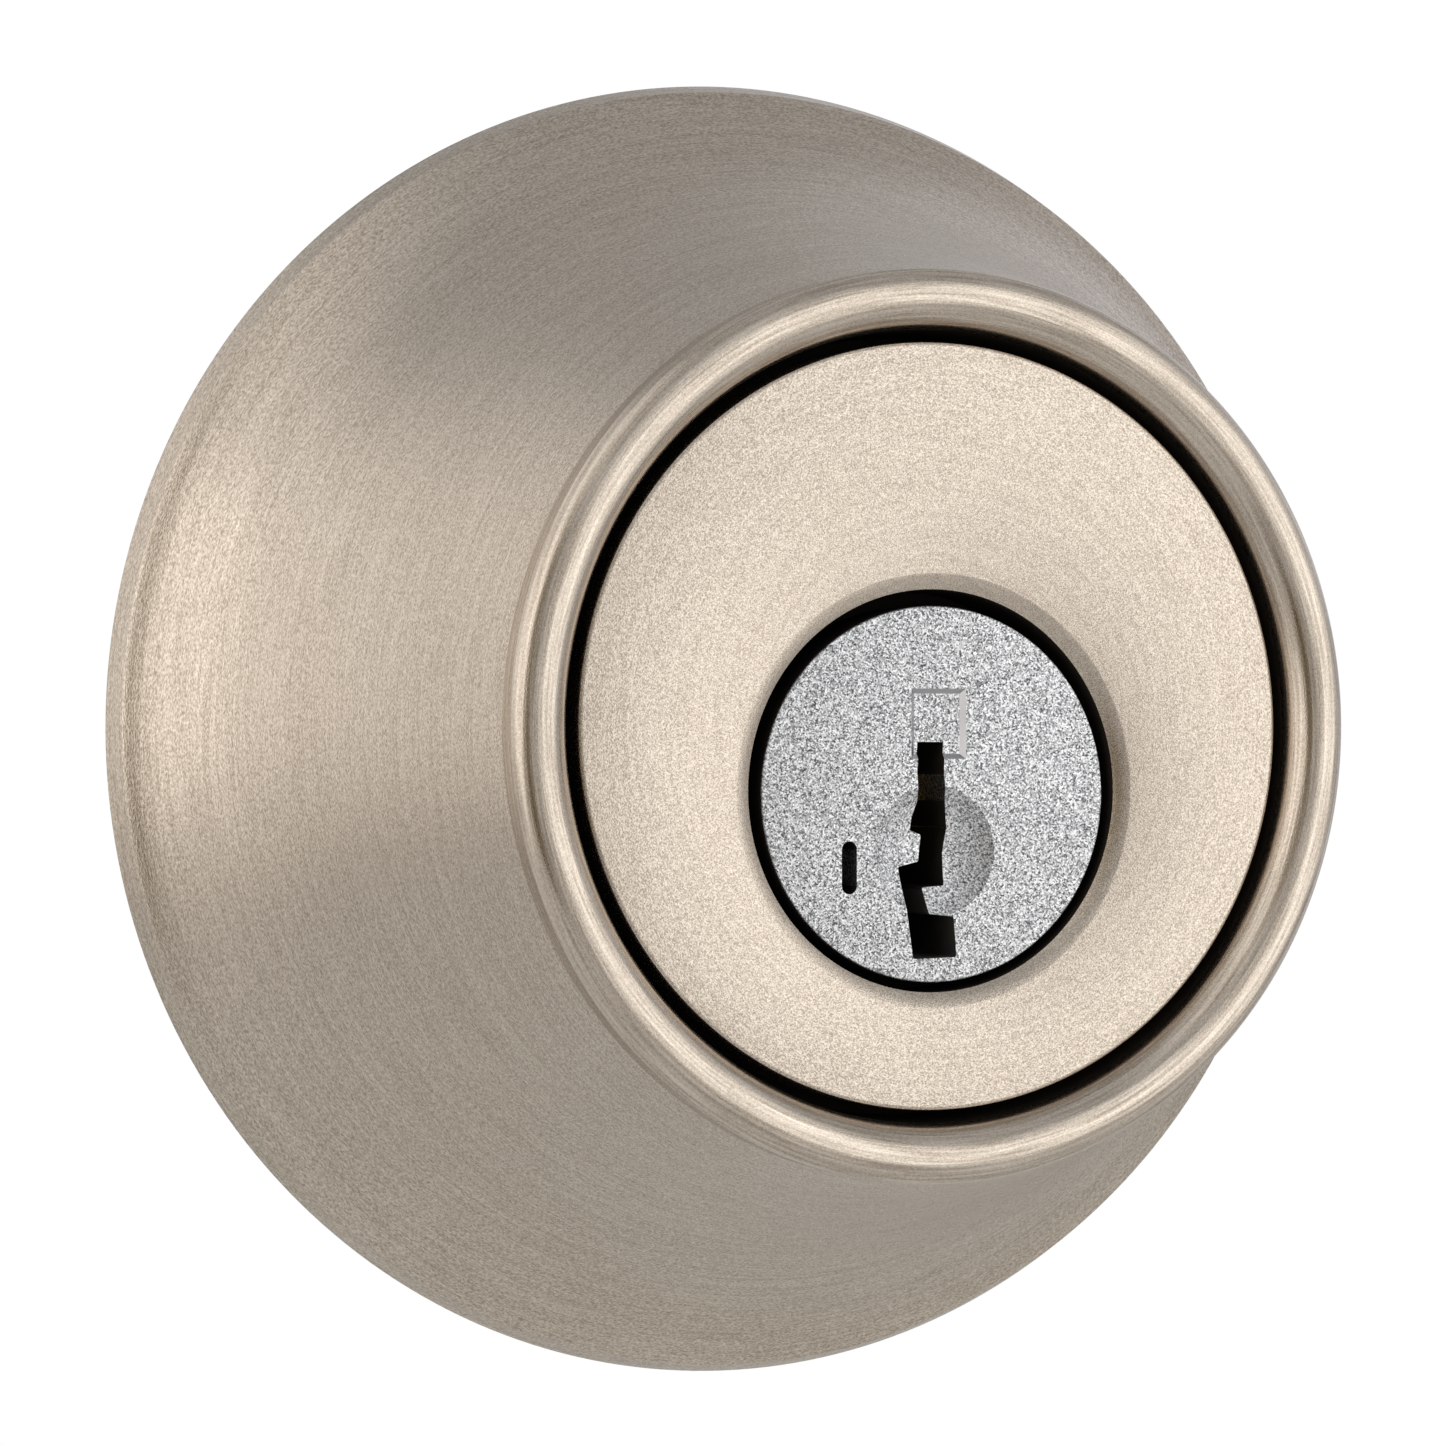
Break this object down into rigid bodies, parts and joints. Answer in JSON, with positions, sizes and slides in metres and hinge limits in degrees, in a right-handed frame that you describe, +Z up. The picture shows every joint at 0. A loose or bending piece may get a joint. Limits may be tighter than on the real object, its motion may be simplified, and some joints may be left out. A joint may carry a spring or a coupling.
{
  "type": "deadbolt outside cylinder half",
  "caption": "Keyed outside half of a deadbolt: free-spinning flared collar, cast cylinder body, rekeyable plug with sliding pins and racks, locking bar, and torque blade.",
  "frame": {"origin": "centre of the collar's back rim, on the collar's axis, in the plane of the door's face", "axes": "-Y out of the door towards the person with the key, +Y into the door along the torque blade, +Z up, +X to the right as seen from outside"},
  "size_m": [0.0636, 0.0705, 0.0636],
  "materials": {
    "satin_nickel": "satin nickel plate, lacquered, fine circumferential brushing",
    "cast_body": "die-cast zinc, satin nickel on the disc",
    "cast_zinc": "die-cast zinc, grit blasted and nickel flashed",
    "spring_steel": "bright spring and stamped steel",
    "brass": "turned and milled brass",
    "black_plastic": "moulded matt plastic"
  },
  "bodies": {
    "housing": {"cylinder_body": "cast_body", "snap_ring": "spring_steel", "friction_washer": "spring_steel", "bore_adapter": "black_plastic"},
    "collar": {"collar": "satin_nickel"},
    "plug": {"plug": "cast_zinc", "plug_clip": "spring_steel", "pin_cap": "cast_zinc", "anti_drill_pin": "spring_steel", "anti_drill_ball": "spring_steel", "blade_cap": "spring_steel", "carrier_spring": "spring_steel", "pin_spring_1": "spring_steel", "pin_spring_2": "spring_steel", "pin_spring_3": "spring_steel", "pin_spring_4": "spring_steel", "pin_spring_5": "spring_steel"},
    "carrier": {"carrier": "cast_zinc", "bar_spring_1": "spring_steel", "bar_spring_2": "spring_steel"},
    "locking_bar": {"locking_bar": "brass"},
    "blade": {"torque_blade": "spring_steel"},
    "pin_1": {"pin_1": "brass"},
    "rack_1": {"rack_1": "spring_steel"},
    "pin_2": {"pin_2": "brass"},
    "rack_2": {"rack_2": "spring_steel"},
    "pin_3": {"pin_3": "brass"},
    "rack_3": {"rack_3": "spring_steel"},
    "pin_4": {"pin_4": "brass"},
    "rack_4": {"rack_4": "spring_steel"},
    "pin_5": {"pin_5": "brass"},
    "rack_5": {"rack_5": "spring_steel"}
  },
  "joints": [
    {"name": "collar_spin", "type": "hinge", "parent": "housing", "child": "collar", "pos_m": [0, -0.012, 0], "axis": [0, -1, 0], "continuous": true},
    {"name": "plug_turn", "type": "hinge", "parent": "housing", "child": "plug", "pos_m": [0, -0.0075, -0.003], "axis": [0, -1, 0], "range_deg": [-90, 90]},
    {"name": "carrier_slide", "type": "slide", "parent": "plug", "child": "carrier", "axis": [0, 1, 0], "range_m": [0, 0.002], "stiffness_N_per_m": 50, "deforming": ["carrier_spring"]},
    {"name": "locking_bar_slide", "type": "slide", "parent": "carrier", "child": "locking_bar", "axis": [-1, 0, 0], "range_m": [0, 0.0007], "deforming": ["bar_spring_1", "bar_spring_2"]},
    {"name": "blade_turn", "type": "hinge", "parent": "plug", "child": "blade", "pos_m": [0, 0.008, -0.003], "axis": [0, -1, 0], "range_deg": [-45, 45]},
    {"name": "pin_1_lift", "type": "slide", "parent": "plug", "child": "pin_1", "axis": [0, 0, 1], "range_m": [0, 0.0028], "stiffness_N_per_m": 30, "deforming": ["pin_spring_1"]},
    {"name": "pin_2_lift", "type": "slide", "parent": "plug", "child": "pin_2", "axis": [0, 0, 1], "range_m": [0, 0.0028], "stiffness_N_per_m": 30, "deforming": ["pin_spring_2"]},
    {"name": "pin_3_lift", "type": "slide", "parent": "plug", "child": "pin_3", "axis": [0, 0, 1], "range_m": [0, 0.0028], "stiffness_N_per_m": 30, "deforming": ["pin_spring_3"]},
    {"name": "pin_4_lift", "type": "slide", "parent": "plug", "child": "pin_4", "axis": [0, 0, 1], "range_m": [0, 0.0028], "stiffness_N_per_m": 30, "deforming": ["pin_spring_4"]},
    {"name": "pin_5_lift", "type": "slide", "parent": "plug", "child": "pin_5", "axis": [0, 0, 1], "range_m": [0, 0.0028], "stiffness_N_per_m": 30, "deforming": ["pin_spring_5"]},
    {"name": "rack_1_lift", "type": "slide", "parent": "carrier", "child": "rack_1", "axis": [0, 0, 1], "range_m": [0, 0.0028]},
    {"name": "rack_2_lift", "type": "slide", "parent": "carrier", "child": "rack_2", "axis": [0, 0, 1], "range_m": [0, 0.0028]},
    {"name": "rack_3_lift", "type": "slide", "parent": "carrier", "child": "rack_3", "axis": [0, 0, 1], "range_m": [0, 0.0028]},
    {"name": "rack_4_lift", "type": "slide", "parent": "carrier", "child": "rack_4", "axis": [0, 0, 1], "range_m": [0, 0.0028]},
    {"name": "rack_5_lift", "type": "slide", "parent": "carrier", "child": "rack_5", "axis": [0, 0, 1], "range_m": [0, 0.0028]}
  ],
  "couplings": [
    {"joint": "rack_1_lift", "follows": "pin_1_lift", "ratio": 1},
    {"joint": "rack_2_lift", "follows": "pin_2_lift", "ratio": 1},
    {"joint": "rack_3_lift", "follows": "pin_3_lift", "ratio": 1},
    {"joint": "rack_4_lift", "follows": "pin_4_lift", "ratio": 1},
    {"joint": "rack_5_lift", "follows": "pin_5_lift", "ratio": 1}
  ]
}
